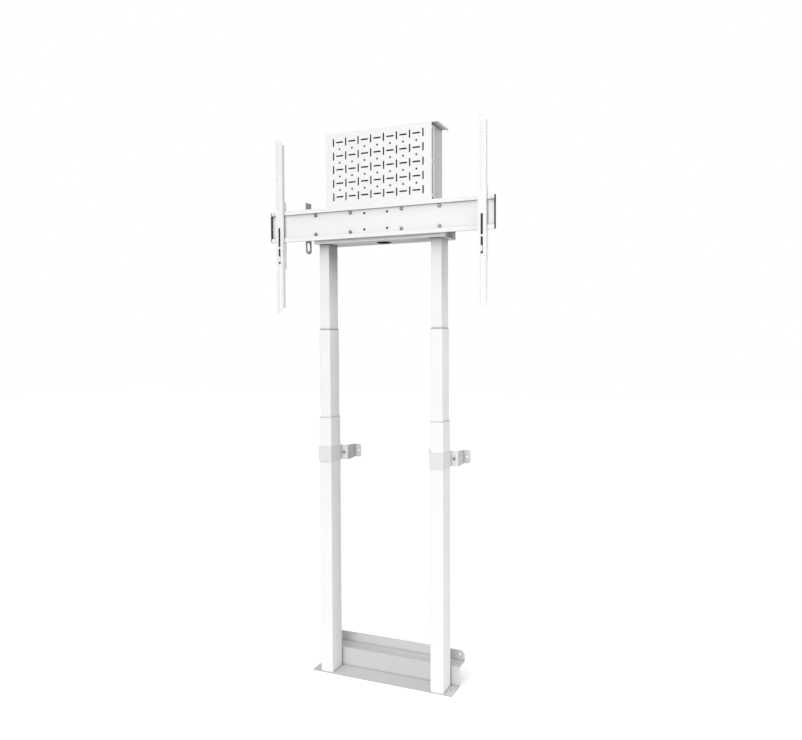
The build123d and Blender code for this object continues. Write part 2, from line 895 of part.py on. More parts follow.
# Beam channel, open towards the screen
beam_bolt_columns = (beam_bolt_inner_column, beam_bolt_outer_column)
bolt_rows = (beam_bottom + beam_bolt_inset, beam_top - beam_bolt_inset)
beam_bolt_points = [(out * x, z) for x in beam_bolt_columns for out in (-1, 1) for z in bolt_rows]
small_rows = (beam_bottom + beam_small_hole_inset, beam_top - beam_small_hole_inset)
small_points = [(out * beam_small_hole_column, z) for out in (-1, 1) for z in small_rows]
cap_screw_x = beam_half_length - cap_screw_inset
cap_screw_z = beam_top - cap_screw_drop
cap_screw_points = [(beam_offset + out * cap_screw_x, cap_screw_z) for out in (-1, 1)]
with BuildPart() as beam:
    with BuildSketch(facing_right(beam_offset - beam_half_length)):
        with BuildLine():
            Polyline(
                (beam_front, beam_bottom),
                (beam_back, beam_bottom),
                (beam_back, beam_top),
                (beam_front, beam_top),
                (beam_front, beam_top - beam_lip_height),
                (beam_front + beam_sheet, beam_top - beam_lip_height),
                (beam_front + beam_sheet, beam_top - beam_sheet),
                (beam_web_front, beam_top - beam_sheet),
                (beam_web_front, beam_bottom + beam_sheet),
                (beam_front + beam_sheet, beam_bottom + beam_sheet),
                (beam_front + beam_sheet, beam_bottom + beam_lip_height),
                (beam_front, beam_bottom + beam_lip_height),
                close=True,
            )
        make_face()
    extrude(amount=2 * beam_half_length)
    drill(facing_front(beam_back), beam_bolt_points, beam_bolt_diameter, beam_sheet)
    drill(facing_front(beam_back), small_points, beam_small_hole_diameter, beam_sheet)
    drill(facing_front(beam_front + beam_sheet), cap_screw_points, cap_screw_diameter, beam_sheet)
save(beam.part, "tv_beam")

# End caps of the beam
ear_front = beam_front + beam_sheet
for side, out in (("left", -1), ("right", 1)):
    cap_inner = beam_offset + out * beam_half_length
    cap_outer = cap_inner + out * end_cap_thickness
    ear_inner = cap_inner - out * end_cap_ear_depth
    with BuildPart() as end_cap:
        with BuildSketch(facing_right(min(cap_inner, cap_outer))):
            with Locations(((beam_front + beam_back) / 2, (beam_bottom + beam_top) / 2)):
                Rectangle(beam_depth, beam_height)
            chamfer(vertices(), end_cap_corner)
        extrude(amount=end_cap_thickness)
        ear_x = (min(cap_inner, ear_inner), max(cap_inner, ear_inner))
        block(ear_x, (ear_front, beam_web_front), (beam_top - beam_lip_height, beam_top - beam_sheet))
        block(
            ear_x,
            (ear_front, beam_web_front),
            (beam_bottom + beam_sheet, beam_bottom + beam_lip_height),
        )
        own_cap_screw = ((beam_offset + out * cap_screw_x, cap_screw_z),)
        drill(
            facing_front(beam_web_front),
            own_cap_screw,
            cap_screw_diameter,
            beam_web_front - ear_front,
        )
    save(end_cap.part, "beam_end_cap_" + side)

with BuildPart() as cap_screws:
    button_heads(
        facing_front(beam_front),
        cap_screw_points,
        cap_screw_head_diameter,
        cap_screw_head_height,
        cap_screw_head_round,
    )
    round_bar(
        facing_front(beam_web_front),
        cap_screw_points,
        cap_screw_diameter,
        beam_web_front - beam_front,
    )
save(cap_screws.part, "cap_screws")

# Plugs that close the four small holes of the beam
with BuildPart() as beam_plugs:
    button_heads(
        facing_front(beam_web_front),
        small_points,
        beam_plug_head_diameter,
        beam_plug_head_height,
        beam_plug_head_round,
    )
    round_bar(
        facing_front(beam_web_front),
        small_points,
        beam_small_hole_diameter - 2 * beam_plug_clearance,
        -(beam_sheet + beam_plug_tail),
    )
save(beam_plugs.part, "beam_plugs")

# Bolts and nuts that hold the beam to its brackets
bracket_back = beam_back + head_bracket_sheet
with BuildPart() as beam_bolts:
    button_heads(
        facing_front(beam_web_front),
        beam_bolt_points,
        beam_bolt_head_diameter,
        beam_bolt_head_height,
        beam_bolt_head_round,
    )
    with BuildSketch(facing_front(beam_web_front - beam_bolt_head_height + beam_bolt_socket_depth)):
        with Locations(*beam_bolt_points):
            RegularPolygon(beam_bolt_socket_flats / 2, 6, major_radius=False)
    extrude(amount=beam_bolt_socket_depth, mode=Mode.SUBTRACT)
    round_bar(
        facing_front(bracket_back + beam_nut_height),
        beam_bolt_points,
        beam_bolt_diameter,
        bracket_back + beam_nut_height - beam_web_front,
    )
save(beam_bolts.part, "beam_bolts")

with BuildPart() as beam_nuts:
    hex_bar(
        facing_front(bracket_back + beam_nut_height),
        beam_bolt_points,
        beam_nut_flats,
        beam_bolt_diameter,
        beam_nut_height,
    )
save(beam_nuts.part, "beam_nuts")

# Head brackets that carry the beam on the crossbar
head_bracket_bottom = beam_bottom + beam_bolt_inset - head_bracket_margin
head_bracket_top = beam_top - beam_bolt_inset + head_bracket_margin
head_bracket_inner = beam_bolt_inner_column - head_bracket_end_margin
head_bracket_outer = beam_bolt_outer_column + head_bracket_end_margin
gusset_positions = (beam_bolt_inner_column + gusset_from_bolts, column_half_spacing - gusset_from_column)
for side, out in (("left", -1), ("right", 1)):
    with BuildPart() as head_bracket:
        plate_x = sorted((out * head_bracket_inner, out * head_bracket_outer))
        block(plate_x, (beam_back, bracket_back), (head_bracket_bottom, head_bracket_top))
        for gusset in gusset_positions:
            gusset_x = out * gusset - head_bracket_sheet / 2
            with BuildSketch(facing_right(gusset_x)):
                with BuildLine():
                    Polyline(
                        (bracket_back, crossbar_top),
                        (head_gusset_back, crossbar_top),
                        (bracket_back, head_bracket_top),
                        close=True,
                    )
                make_face()
            extrude(amount=head_bracket_sheet)
        own_points = [point for point in beam_bolt_points if point[0] * out > 0]
        drill(facing_front(bracket_back), own_points, beam_bolt_diameter, head_bracket_sheet)
    save(head_bracket.part, "head_bracket_" + side)

# Screen arms, both folded to the same hand; the flange hooks over the beam and behind it
arm_top = (beam_bottom + beam_top + arm_length) / 2
arm_bottom = arm_top - arm_length
flange_back = arm_front + arm_flange_depth
hook_back = arm_front + hook_depth
hook_tip = beam_back + hook_back_clearance
hook_top = beam_top + hook_top_rise
hook_bottom = beam_bottom - hook_bottom_drop
notch_bottom = beam_bottom - arm_notch_clearance
latch_top = beam_bottom - latch_below_beam
latch_bottom = latch_top - latch_body_height
ring_bottom = latch_bottom - latch_ring_height
for side, out in (("left", -1), ("right", 1)):
    arm_x = beam_offset + out * (beam_half_length - arm_end_inset)
    face_left = arm_x - arm_width / 2
    face_right = arm_x + arm_width / 2
    flange_left = face_right - arm_sheet
    latch_x = (flange_left - latch_width, flange_left)
    ring_x = flange_left - latch_width + latch_ring_width / 2
    with BuildPart() as arm:
        with BuildSketch(facing_front(arm_back)):
            with BuildLine():
                Polyline(
                    (face_left, arm_bottom),
                    (face_left + arm_end_flat, arm_bottom),
                    (face_right, arm_bottom + arm_end_drop),
                    (face_right, arm_top - arm_end_drop),
                    (face_left + arm_end_flat, arm_top),
                    (face_left, arm_top),
                    close=True,
                )
            make_face()
            top_hole_z = arm_top - arm_hole_inset
            arm_holes = [(arm_x, top_hole_z - n * arm_hole_pitch) for n in range(arm_hole_count)]
            with Locations(*arm_holes):
                Circle(arm_hole_diameter / 2, mode=Mode.SUBTRACT)
            low_slot_z = arm_bottom + arm_slot_inset + arm_slot_length / 2
            slot_centres = [(arm_x, low_slot_z + n * arm_slot_pitch) for n in range(arm_slot_count)]
            with Locations(*slot_centres):
                SlotOverall(arm_slot_length, arm_slot_width, rotation=90, mode=Mode.SUBTRACT)
        extrude(amount=arm_sheet)
        with BuildSketch(facing_right(flange_left)):
            with BuildLine():
                Polyline(
                    (arm_front, arm_bottom + arm_end_drop),
                    (flange_back, arm_bottom + arm_end_drop),
                    (flange_back, hook_bottom),
                    (hook_back - hook_corner, hook_bottom),
                    (hook_back, hook_bottom + hook_corner),
                    (hook_back, notch_bottom),
                    (notch_front, notch_bottom),
                    (notch_front, beam_top),
                    (hook_tip, beam_top),
                    (hook_tip, beam_top - hook_lap),
                    (hook_back, beam_top - hook_lap),
                    (hook_back, hook_top - hook_corner),
                    (hook_back - hook_corner, hook_top),
                    (flange_back, hook_top),
                    (flange_back, arm_top - arm_end_drop),
                    (arm_front, arm_top - arm_end_drop),
                    close=True,
                )
            make_face()
        extrude(amount=arm_sheet)
    save(arm.part, "vesa_arm_" + side)

    # Latch behind the arm: a pad on the beam's face, a pawl behind its lower edge and a ring to pull
    pad_top = slot_centres[-1][1] + arm_slot_length / 2 + latch_pad_lap
    with BuildPart() as arm_latch:
        block(latch_x, (arm_back, hook_back), (latch_bottom, latch_top), radius=latch_corner)
        block(latch_x, (arm_back, notch_front), (latch_top, pad_top))
        block(latch_x, (hook_tip, hook_back), (latch_top, beam_bottom + latch_pawl_lap), radius=latch_corner)
        with BuildSketch(facing_front(arm_back + latch_ring_sheet)):
            with Locations((ring_x, (ring_bottom + latch_bottom) / 2)):
                Rectangle(latch_ring_width, latch_ring_height)
            fillet(vertices().group_by(Axis.Y)[0], latch_ring_corner)
            with Locations((ring_x, (ring_bottom + latch_ring_foot + latch_bottom) / 2)):
                Rectangle(
                    latch_ring_width - 2 * latch_ring_rim,
                    latch_ring_height - latch_ring_foot,
                    mode=Mode.SUBTRACT,
                )
        extrude(amount=latch_ring_sheet)
    save(arm_latch.part, "arm_latch_" + side)

# Media box shell: back plate with an apron screwed to the crossbar, floor with a cable slot, roof and sides
box_inner = box_half_width - box_sheet
with BuildPart() as media_box:
    block((-box_half_width, box_half_width), (crossbar_back, box_back), (box_bottom, box_top))
    block(
        (-apron_half_width, apron_half_width),
        (crossbar_back, box_back),
        (crossbar_top - apron_drop, box_bottom),
    )
    for wall_x in ((-box_half_width, -box_inner), (box_inner, box_half_width)):
        block(wall_x, (box_front + box_side_set_back, box_back), (box_bottom, box_top))
    block(
        (-box_half_width, box_half_width),
        (box_front, box_back),
        (box_bottom, box_bottom + box_sheet),
    )
    block((-box_half_width, box_half_width), (box_front, box_back), (box_top - box_sheet, box_top))
    block(
        (box_inner, box_half_width + box_side_flange),
        (box_front, box_back),
        (box_top - box_sheet, box_top),
    )
    block(
        (box_half_width + box_side_flange - box_sheet, box_half_width + box_side_flange),
        (box_front, box_back),
        (box_top - box_side_flange_lip, box_top),
    )
    drill(facing_front(box_back), box_screw_points, crossbar_screw_diameter, box_sheet)
    block(
        (-back_opening_half_width, back_opening_half_width),
        (crossbar_back, box_back),
        (crossbar_top + back_opening_sill, box_bottom - back_opening_head),
        mode=Mode.SUBTRACT,
    )
    block(
        (-floor_slot_half_length, floor_slot_half_length),
        (floor_slot_front, floor_slot_front + floor_slot_width),
        (box_bottom, box_bottom + box_sheet),
        mode=Mode.SUBTRACT,
    )
    panel_screw_z = (box_bottom + box_top) / 2
    panel_screw_y = box_front + (panel_slit + panel_return) / 2
    panel_screw_point = ((panel_screw_y, panel_screw_z),)
    drill(facing_right(-box_half_width), panel_screw_point, panel_screw_diameter, 2 * box_half_width)
save(media_box.part, "media_box")

# Perforated front panel, folded back over the sides of the shell, with long slits behind its corners
panel_inner = box_half_width + panel_seat
panel_outer = panel_inner + panel_sheet
panel_front = box_front - panel_sheet
panel_bottom = box_bottom
panel_top = box_top + panel_rise
panel_columns_x = [(n - (panel_columns - 1) / 2) * panel_column_pitch for n in range(panel_columns)]
panel_rows_z = [panel_top - panel_top_margin - n * panel_row_pitch for n in range(panel_rows)]
between_columns_x = [x + panel_column_pitch / 2 for x in panel_columns_x[:-1]]
between_rows_z = [z - panel_row_pitch / 2 for z in panel_rows_z[:-1]]
with BuildPart() as media_panel:
    with BuildSketch(facing_front(box_front)):
        with Locations((0, (panel_bottom + panel_top) / 2)):
            Rectangle(2 * panel_outer, panel_top - panel_bottom)
        with Locations(*[(x, z) for x in panel_columns_x for z in panel_rows_z]):
            SlotOverall(panel_slot_length, panel_slot_width, rotation=90, mode=Mode.SUBTRACT)
        with Locations(*[(x, z) for x in between_columns_x for z in panel_rows_z]):
            SlotOverall(panel_slot_length, panel_slot_width, mode=Mode.SUBTRACT)
        with Locations(*[(x, z) for x in between_columns_x for z in between_rows_z]):
            Circle(panel_hole_diameter / 2, mode=Mode.SUBTRACT)
    extrude(amount=panel_sheet)
    return_bottom = panel_bottom + panel_return_rise
    return_top = box_top - box_side_flange_lip - panel_rise
    slit_heights = (
        (return_bottom + panel_bridge, panel_screw_z - panel_bridge / 2),
        (panel_screw_z + panel_bridge / 2, return_top - panel_bridge),
    )
    for out in (-1, 1):
        return_x = sorted((out * panel_inner, out * panel_outer))
        block(return_x, (box_front, box_front + panel_return), (return_bottom, return_top))
        for slit_height in slit_heights:
            block(return_x, (box_front, box_front + panel_slit), slit_height, mode=Mode.SUBTRACT)
    drill(facing_right(-panel_outer), panel_screw_point, panel_screw_diameter, 2 * panel_outer)
save(media_panel.part, "media_panel")

with BuildPart() as panel_screws:
    screw_reach = panel_outer - box_inner
    for out in (-1, 1):
        button_heads(
            facing_right(out * panel_outer),
            panel_screw_point,
            panel_screw_head_diameter,
            out * panel_screw_head_height,
            panel_screw_head_round,
        )
        round_bar(
            facing_right(out * panel_outer),
            panel_screw_point,
            panel_screw_diameter,
            -out * screw_reach,
        )
save(panel_screws.part, "panel_screws")

# Cable guide plate with an eye at its lower end and a foot on the crossbar
guide_back = guide_front + guide_depth
guide_top = crossbar_top + guide_rise
guide_bottom = crossbar_bottom - guide_drop
eye_centre_z = guide_bottom + guide_eye_margin + guide_eye_height / 2
with BuildPart() as cable_guide:
    with BuildSketch(facing_right(guide_x - guide_sheet / 2)):
        with Locations(((guide_front + guide_back) / 2, (guide_bottom + guide_top) / 2)):
            Rectangle(guide_depth, guide_top - guide_bottom)
        chamfer(vertices().group_by(Axis.Y)[0], guide_eye_margin)
        with Locations(((guide_front + guide_back) / 2, eye_centre_z)):
            SlotOverall(guide_eye_height, guide_eye_width, rotation=90, mode=Mode.SUBTRACT)
    extrude(amount=guide_sheet)
    block(
        (guide_inner, guide_inner + guide_foot_length),
        (guide_front, guide_back),
        (crossbar_top, crossbar_top + guide_sheet),
    )
    drill(Plane.XY.offset(crossbar_top), guide_screw_points, crossbar_screw_diameter, guide_sheet)
save(cable_guide.part, "cable_guide_plate")

# Screws of the media box, from behind, and of the guide plate, from above
with BuildPart() as crossbar_screws:
    for seat, points, outwards in (
        (facing_front(box_back), box_screw_points, -1),
        (Plane.XY.offset(crossbar_top + guide_sheet), guide_screw_points, 1),
    ):
        button_heads(
            seat,
            points,
            crossbar_screw_head_diameter,
            outwards * crossbar_screw_head_height,
            crossbar_screw_head_round,
        )
        round_bar(seat, points, crossbar_screw_diameter, -outwards * crossbar_screw_length)
save(crossbar_screws.part, "crossbar_screws")

# Control box on the crossbar, with the power inlet in its back
control_top = crossbar_top + control_height
inlet_z = crossbar_top + control_height / 2
inlet_back = control_back + inlet_flange
with BuildPart() as control_box:
    block(
        (-control_half_length, control_half_length),
        (control_front, control_back),
        (crossbar_top, control_top),
        radius=control_radius,
    )
    block(
        (-control_half_length + control_wall, control_half_length - control_wall),
        (control_front + control_wall, control_back - control_wall),
        (crossbar_top + control_wall, control_top - control_wall),
        mode=Mode.SUBTRACT,
    )
    drill(
        Plane.XY.offset(crossbar_top),
        ((0, cable_hole_y),),
        cable_hole_diameter - 2 * grommet_wall,
        control_wall,
    )
    block(
        (inlet_x - inlet_width / 2, inlet_x + inlet_width / 2),
        (control_back - control_wall, control_back),
        (inlet_z - inlet_height / 2, inlet_z + inlet_height / 2),
        mode=Mode.SUBTRACT,
    )
save(control_box.part, "control_box")

with BuildPart() as power_inlet:
    block(
        (inlet_x - inlet_width / 2, inlet_x + inlet_width / 2),
        (control_back - inlet_depth, control_back),
        (inlet_z - inlet_height / 2, inlet_z + inlet_height / 2),
    )
    block(
        (inlet_x - inlet_width / 2 - inlet_flange, inlet_x + inlet_width / 2 + inlet_flange),
        (control_back, inlet_back),
        (inlet_z - inlet_height / 2 - inlet_flange, inlet_z + inlet_height / 2 + inlet_flange),
    )
    block(
        (inlet_x - inlet_width / 2 + inlet_wall, inlet_x + inlet_width / 2 - inlet_wall),
        (control_back - inlet_depth + inlet_wall, inlet_back),
        (inlet_z - inlet_height / 2 + inlet_wall, inlet_z + inlet_height / 2 - inlet_wall),
        mode=Mode.SUBTRACT,
    )
save(power_inlet.part, "power_inlet")

with BuildPart() as inlet_pins:
    pin_points = [(inlet_x + step * inlet_pin_pitch, inlet_z) for step in (-1, 0, 1)]
    with BuildSketch(facing_front(control_back - inlet_depth + inlet_wall + inlet_pin_length)):
        with Locations(*pin_points):
            Rectangle(inlet_pin_thickness, inlet_pin_height)
    extrude(amount=inlet_pin_length)
save(inlet_pins.part, "inlet_pins")
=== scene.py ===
import json
import math

import bpy
from mathutils import Matrix, Vector


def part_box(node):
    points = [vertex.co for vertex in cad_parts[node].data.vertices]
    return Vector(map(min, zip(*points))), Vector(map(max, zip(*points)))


# Dresses the motorised television stand: its finishes and a plain studio.
# Metres, in the frame of the model. X runs along the beam, Y back to the wall, Z up.

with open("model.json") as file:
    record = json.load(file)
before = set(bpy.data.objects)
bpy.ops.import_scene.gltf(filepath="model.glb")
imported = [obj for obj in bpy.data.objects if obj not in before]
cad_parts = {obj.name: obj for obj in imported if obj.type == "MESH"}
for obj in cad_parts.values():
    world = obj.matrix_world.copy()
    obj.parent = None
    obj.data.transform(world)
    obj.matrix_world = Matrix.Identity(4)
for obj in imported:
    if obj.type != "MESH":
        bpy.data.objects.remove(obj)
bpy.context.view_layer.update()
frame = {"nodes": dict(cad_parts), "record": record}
scene = bpy.context.scene
scene.view_settings.view_transform = "Standard"

# Camera, from the photograph's viewpoint
camera_place = Vector((1.1440, -2.4919, 1.2718))
camera_yaw = math.radians(23.26)
camera_pitch = math.radians(-2.25)
camera_roll = math.radians(-0.23)
focal_pixels = 738.7
picture_width = 802
sensor_width = 36.0
nearest_seen = 0.05
farthest_seen = 60.0


def make_camera():
    """Camera at the photograph's place, looking along its axis."""
    data = bpy.data.cameras.new("camera")
    data.sensor_width = sensor_width
    data.lens = sensor_width * focal_pixels / picture_width
    data.clip_start = nearest_seen
    data.clip_end = farthest_seen
    camera = bpy.data.objects.new("camera", data)
    scene.collection.objects.link(camera)
    turn = Matrix.Rotation(camera_yaw, 4, "Z")
    tilt = Matrix.Rotation(math.pi / 2 + camera_pitch, 4, "X")
    roll = Matrix.Rotation(camera_roll, 4, "Z")
    camera.matrix_world = Matrix.Translation(camera_place) @ turn @ tilt @ roll
    scene.camera = camera


# Studio: white surroundings, a plain floor and soft lamps
white_light = (1.0, 1.0, 1.0, 1.0)
ambient_level = 0.26
reflected_dark = 0.08
reflected_bright = 0.90
reflected_lowest = -0.3
reflected_highest = 0.9
reflected_lean = 0.6
near_floor = 0.68
far_floor = 0.38
near_reach = 0.9
far_reach = 2.4
floor_seen_albedo = 0.80
floor_seen_glow = 0.38
floor_size = 30.0
sun_distance = 6.0
# Name, direction that the light comes from, its width in degrees and its level
suns = (
    ("key", (-0.10, -1.00, 0.22), 32.0, 0.44),
    ("top", (-0.10, -0.45, 1.00), 55.0, 0.50),
    ("right", (1.0, -0.25, 0.10), 60.0, 0.16),
    ("back", (0.2, 1.0, 0.35), 60.0, 0.15),
)
side_lamp_level = 0.36
side_lamp_size = 0.9
side_lamp_place = Vector((2.4, -0.40, 0.7))
side_lamp_target = Vector((0.25, 0.0, 0.75))


def make_world():
    """White to look at, an even soft light, and reflections brightest up and to the right."""
    world = bpy.data.worlds.new("studio")
    world.use_nodes = True
    tree = world.node_tree
    tree.nodes.clear()
    output = tree.nodes.new("ShaderNodeOutputWorld")
    path = tree.nodes.new("ShaderNodeLightPath")
    place = tree.nodes.new("ShaderNodeTexCoord")
    split = tree.nodes.new("ShaderNodeSeparateXYZ")
    tree.links.new(place.outputs["Generated"], split.inputs["Vector"])
    side = tree.nodes.new("ShaderNodeMath")
    side.operation = "MULTIPLY_ADD"
    side.inputs[1].default_value = reflected_lean
    tree.links.new(split.outputs["X"], side.inputs[0])
    tree.links.new(split.outputs["Z"], side.inputs[2])
    height = tree.nodes.new("ShaderNodeMapRange")
    height.inputs["From Min"].default_value = reflected_lowest
    height.inputs["From Max"].default_value = reflected_highest
    height.inputs["To Min"].default_value = reflected_dark
    height.inputs["To Max"].default_value = reflected_bright
    tree.links.new(side.outputs[0], height.inputs["Value"])
    light = tree.nodes.new("ShaderNodeBackground")
    light.inputs["Strength"].default_value = ambient_level
    mirrored = tree.nodes.new("ShaderNodeBackground")
    tree.links.new(height.outputs["Result"], mirrored.inputs["Strength"])
    seen = tree.nodes.new("ShaderNodeBackground")
    seen.inputs["Strength"].default_value = 1.0
    for shade in (light, mirrored, seen):
        shade.inputs["Color"].default_value = white_light
    unseen = tree.nodes.new("ShaderNodeMixShader")
    tree.links.new(path.outputs["Is Glossy Ray"], unseen.inputs[0])
    tree.links.new(light.outputs[0], unseen.inputs[1])
    tree.links.new(mirrored.outputs[0], unseen.inputs[2])
    mix = tree.nodes.new("ShaderNodeMixShader")
    tree.links.new(path.outputs["Is Camera Ray"], mix.inputs[0])
    tree.links.new(unseen.outputs[0], mix.inputs[1])
    tree.links.new(seen.outputs[0], mix.inputs[2])
    tree.links.new(mix.outputs[0], output.inputs["Surface"])
    scene.world = world


def make_floor():
    """Wide plain floor that turns white away from the object's shadow."""
    mesh = bpy.data.meshes.new("floor")
    half = floor_size / 2
    corners = [(-half, -half, 0.0), (half, -half, 0.0), (half, half, 0.0), (-half, half, 0.0)]
    mesh.from_pydata(corners, [], [(0, 1, 2, 3)])
    floor = bpy.data.objects.new("floor", mesh)
    scene.collection.objects.link(floor)
    material = bpy.data.materials.new("floor")
    material.use_nodes = True
    tree = material.node_tree
    tree.nodes.clear()
    output = tree.nodes.new("ShaderNodeOutputMaterial")
    unseen = tree.nodes.new("ShaderNodeBsdfDiffuse")
    place = tree.nodes.new("ShaderNodeTexCoord")
    distance = tree.nodes.new("ShaderNodeVectorMath")
    distance.operation = "LENGTH"
    tree.links.new(place.outputs["Object"], distance.inputs[0])
    paleness = tree.nodes.new("ShaderNodeMapRange")
    paleness.inputs["From Min"].default_value = near_reach
    paleness.inputs["From Max"].default_value = far_reach
    paleness.inputs["To Min"].default_value = near_floor
    paleness.inputs["To Max"].default_value = far_floor
    tree.links.new(distance.outputs["Value"], paleness.inputs["Value"])
    tree.links.new(paleness.outputs["Result"], unseen.inputs["Color"])
    seen = tree.nodes.new("ShaderNodeBsdfDiffuse")
    seen.inputs["Color"].default_value = (floor_seen_albedo, floor_seen_albedo, floor_seen_albedo, 1.0)
    glow = tree.nodes.new("ShaderNodeEmission")
    glow.inputs["Color"].default_value = white_light
    glow.inputs["Strength"].default_value = floor_seen_glow
    bright = tree.nodes.new("ShaderNodeAddShader")
    path = tree.nodes.new("ShaderNodeLightPath")
    mix = tree.nodes.new("ShaderNodeMixShader")
    tree.links.new(seen.outputs[0], bright.inputs[0])
    tree.links.new(glow.outputs[0], bright.inputs[1])
    tree.links.new(path.outputs["Is Camera Ray"], mix.inputs[0])
    tree.links.new(unseen.outputs[0], mix.inputs[1])
    tree.links.new(bright.outputs[0], mix.inputs[2])
    tree.links.new(mix.outputs[0], output.inputs["Surface"])
    mesh.materials.append(material)


def make_sun(name, direction, spread_degrees, level):
    """Wide soft light from this direction, as a share of full light."""
    data = bpy.data.lights.new(name, "SUN")
    data.angle = math.radians(spread_degrees)
    data.energy = level * math.pi
    sun = bpy.data.objects.new(name, data)
    source = Vector(direction).normalized()
    sun.location = source * sun_distance
    sun.rotation_euler = source.to_track_quat("Z", "Y").to_euler()
    scene.collection.objects.link(sun)


def make_side_lamp():
    """Broad soft lamp low on the right, brightest on the right column."""
    data = bpy.data.lights.new("side_lamp", "AREA")
    data.shape = "SQUARE"
    data.size = side_lamp_size
    reach = side_lamp_target - side_lamp_place
    data.energy = side_lamp_level * math.pi ** 2 * reach.length_squared
    lamp = bpy.data.objects.new("side_lamp", data)
    lamp.location = side_lamp_place
    lamp.rotation_euler = reach.to_track_quat("-Z", "Y").to_euler()
    lamp.visible_camera = False
    lamp.visible_glossy = False
    scene.collection.objects.link(lamp)


# Finishes, with painted shade in corners and gaps, and painted shadow under overhangs
noise_low = 0.3
noise_high = 0.7
satin = 0.42
soft_satin = 0.45
# Reach and strength of the painted shade in corners and gaps, and of the painted shadow under overhangs
crevice_shade_reach = 0.010
sheltered_shade_reach = 0.016
crevice_shade_darkness = 0.4
box_crevice_shade_darkness = 0.8
overhang_shade_reach = 0.25
overhang_shade_darkness = 0.70
# Share of the colour left inside the box, drawing it near black
dark_inside_share = 0.03
half_sheet = 0.001


def start_material(name):
    """New node material with only its shader and output."""
    material = bpy.data.materials.new(name)
    material.use_nodes = True
    tree = material.node_tree
    tree.nodes.clear()
    output = tree.nodes.new("ShaderNodeOutputMaterial")
    shader = tree.nodes.new("ShaderNodeBsdfPrincipled")
    tree.links.new(shader.outputs["BSDF"], output.inputs["Surface"])
    return material, tree, shader


def noise(tree, scale, detail=2.0, stretch=None):
    """Noise in the object's own metres, stretched along its axes where asked."""
    place = tree.nodes.new("ShaderNodeTexCoord")
    source = place.outputs["Object"]
    if stretch:
        mapping = tree.nodes.new("ShaderNodeMapping")
        mapping.inputs["Scale"].default_value = stretch
        tree.links.new(source, mapping.inputs["Vector"])
        source = mapping.outputs["Vector"]
    texture = tree.nodes.new("ShaderNodeTexNoise")
    texture.inputs["Scale"].default_value = scale
    texture.inputs["Detail"].default_value = detail
    tree.links.new(source, texture.inputs["Vector"])
    return texture.outputs["Fac"]


def spread(tree, source, low, high):
    """The source's middle range spread between two values."""
    span = tree.nodes.new("ShaderNodeMapRange")
    span.inputs["From Min"].default_value = noise_low
    span.inputs["From Max"].default_value = noise_high
    span.inputs["To Min"].default_value = low
    span.inputs["To Max"].default_value = high
    tree.links.new(source, span.inputs["Value"])
    return span.outputs["Result"]


def tint(tree, source, dark, light):
    """Colour that runs from dark to light with the source."""
    ramp = tree.nodes.new("ShaderNodeValToRGB")
    ramp.color_ramp.elements[0].position = noise_low
    ramp.color_ramp.elements[0].color = (*dark, 1.0)
    ramp.color_ramp.elements[1].position = noise_high
    ramp.color_ramp.elements[1].color = (*light, 1.0)
    tree.links.new(source, ramp.inputs["Fac"])
    return ramp.outputs["Color"]


def bump(tree, source, depth, under=None):
    """Bump of the given depth in metres, on top of another where asked."""
    node = tree.nodes.new("ShaderNodeBump")
    node.inputs["Strength"].default_value = 1.0
    node.inputs["Distance"].default_value = depth
    tree.links.new(source, node.inputs["Height"])
    if under:
        tree.links.new(under, node.inputs["Normal"])
    return node.outputs["Normal"]


def scaled(colour, factor):
    """Colour made darker or lighter by a factor."""
    return tuple(channel * factor for channel in colour)


def inside(tree, low, high):
    """One between the two corners, in the object's own metres, and zero outside."""
    place = tree.nodes.new("ShaderNodeTexCoord")
    unit = tree.nodes.new("ShaderNodeMapping")
    for axis in range(3):
        scale = 2.0 / (high[axis] - low[axis])
        unit.inputs["Scale"].default_value[axis] = scale
        unit.inputs["Location"].default_value[axis] = -scale * (low[axis] + high[axis]) / 2
    tree.links.new(place.outputs["Object"], unit.inputs["Vector"])
    distance = tree.nodes.new("ShaderNodeVectorMath")
    distance.operation = "ABSOLUTE"
    tree.links.new(unit.outputs["Vector"], distance.inputs[0])
    split = tree.nodes.new("ShaderNodeSeparateXYZ")
    tree.links.new(distance.outputs["Vector"], split.inputs["Vector"])
    farthest = split.outputs["X"]
    for axis in ("Y", "Z"):
        larger = tree.nodes.new("ShaderNodeMath")
        larger.operation = "MAXIMUM"
        tree.links.new(farthest, larger.inputs[0])
        tree.links.new(split.outputs[axis], larger.inputs[1])
        farthest = larger.outputs[0]
    within = tree.nodes.new("ShaderNodeMath")
    within.operation = "LESS_THAN"
    within.inputs[1].default_value = 1.0
    tree.links.new(farthest, within.inputs[0])
    return within.outputs[0]


def painted_crevice_shade(tree, colour, reach, darkness, closed=0.35, clear=0.95, samples=6):
    """Painted shade: colour darkened by ambient occlusion in corners and gaps narrower than the reach, in
    metres.
    """
    corner = tree.nodes.new("ShaderNodeAmbientOcclusion")
    corner.samples = samples
    corner.inputs["Distance"].default_value = reach
    span = tree.nodes.new("ShaderNodeMapRange")
    span.inputs["From Min"].default_value = closed
    span.inputs["From Max"].default_value = clear
    span.inputs["To Min"].default_value = 1.0 - darkness
    span.inputs["To Max"].default_value = 1.0
    tree.links.new(corner.outputs["AO"], span.inputs["Value"])
    shaded = tree.nodes.new("ShaderNodeMix")
    shaded.data_type = "RGBA"
    shaded.blend_type = "MULTIPLY"
    shaded.inputs[0].default_value = 1.0
    tree.links.new(colour, shaded.inputs[6])
    tree.links.new(span.outputs["Result"], shaded.inputs[7])
    return shaded.outputs[2]


